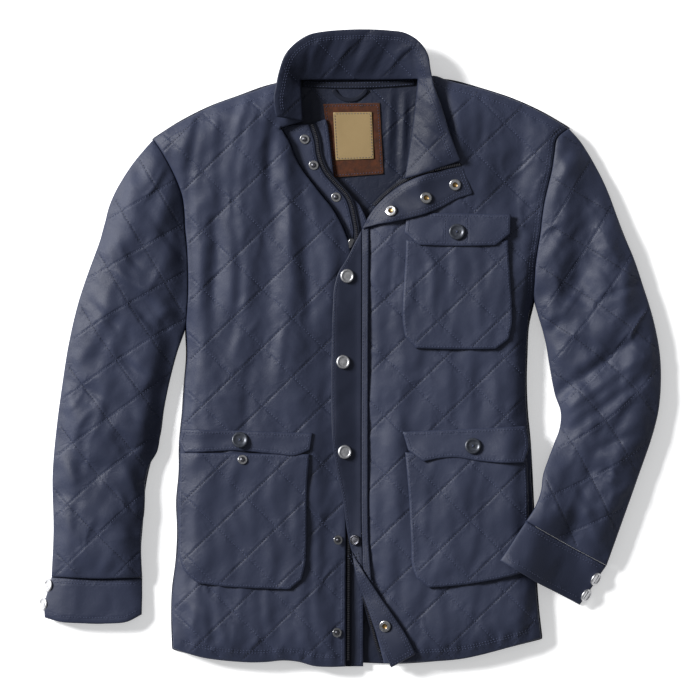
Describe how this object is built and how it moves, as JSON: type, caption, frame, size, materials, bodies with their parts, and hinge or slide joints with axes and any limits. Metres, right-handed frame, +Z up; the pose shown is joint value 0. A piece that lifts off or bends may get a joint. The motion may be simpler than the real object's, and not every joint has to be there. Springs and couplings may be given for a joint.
{
  "type": "quilted jacket",
  "caption": "Quilted hip-length jacket with patch pockets, turned-open collar, zip, storm flap and snaps, laid flat on its back and partly open.",
  "frame": {"origin": "under the middle of the whole jacket, on the surface it lies on", "axes": "+Z up from that surface, +Y from the hem towards the collar, +X towards the wearer's left side"},
  "size_m": [0.8401, 0.8614, 0.0614],
  "materials": {
    "shell_cloth": "fine navy woven nylon with a soft sheen, quilted",
    "lining_cloth": "dark navy quilted lining",
    "leather": "brown suede with raw edges",
    "label_cloth": "dull gold woven label, left blank",
    "snap_metal": "nickel-plated snaps and zip",
    "button_metal": "dark enamelled buttons with a metal rim"
  },
  "bodies": {
    "root": {"back": "lining_cloth", "neck_patch": "leather", "neck_label": "label_cloth", "neck_tape": "lining_cloth", "hanger_loop": "shell_cloth", "zip_guard": "shell_cloth", "zip_right": "shell_cloth", "right_stand": "shell_cloth", "right_front": "shell_cloth", "left_front": "shell_cloth", "right_sleeve_under": "shell_cloth", "right_sleeve_top": "shell_cloth", "right_cuff_under": "shell_cloth", "right_cuff_top": "shell_cloth", "right_pocket": "shell_cloth", "right_pocket_flap": "shell_cloth", "left_pocket": "shell_cloth", "left_pocket_flap": "shell_cloth", "chest_pocket": "shell_cloth", "chest_pocket_flap": "shell_cloth", "zip_slider": "snap_metal", "storm_flap": "shell_cloth", "storm_flap_seam": "shell_cloth", "storm_flap_end": "shell_cloth", "storm_flap_lapel": "shell_cloth", "zip_left_top": "shell_cloth", "zip_left_bottom": "shell_cloth", "collar": "shell_cloth", "left_sleeve_under": "shell_cloth", "left_sleeve_top": "shell_cloth", "left_cuff_under": "shell_cloth", "left_cuff_top": "shell_cloth", "snap_cap_1": "snap_metal", "snap_cap_2": "snap_metal", "snap_cap_3": "snap_metal", "snap_cap_4": "snap_metal", "stand_stud_1": "snap_metal", "stand_stud_2": "snap_metal", "stand_stud_3": "snap_metal", "front_stud_1": "snap_metal", "front_stud_2": "snap_metal", "pocket_stud": "snap_metal", "lapel_socket_1": "snap_metal", "lapel_socket_2": "snap_metal", "lapel_socket_3": "snap_metal", "end_socket": "snap_metal", "chest_button": "button_metal", "right_pocket_button": "button_metal", "left_pocket_button": "button_metal", "right_cuff_snap_1": "snap_metal", "right_cuff_snap_2": "snap_metal", "left_cuff_snap_1": "snap_metal", "left_cuff_snap_2": "snap_metal"}
  },
  "joints": []
}
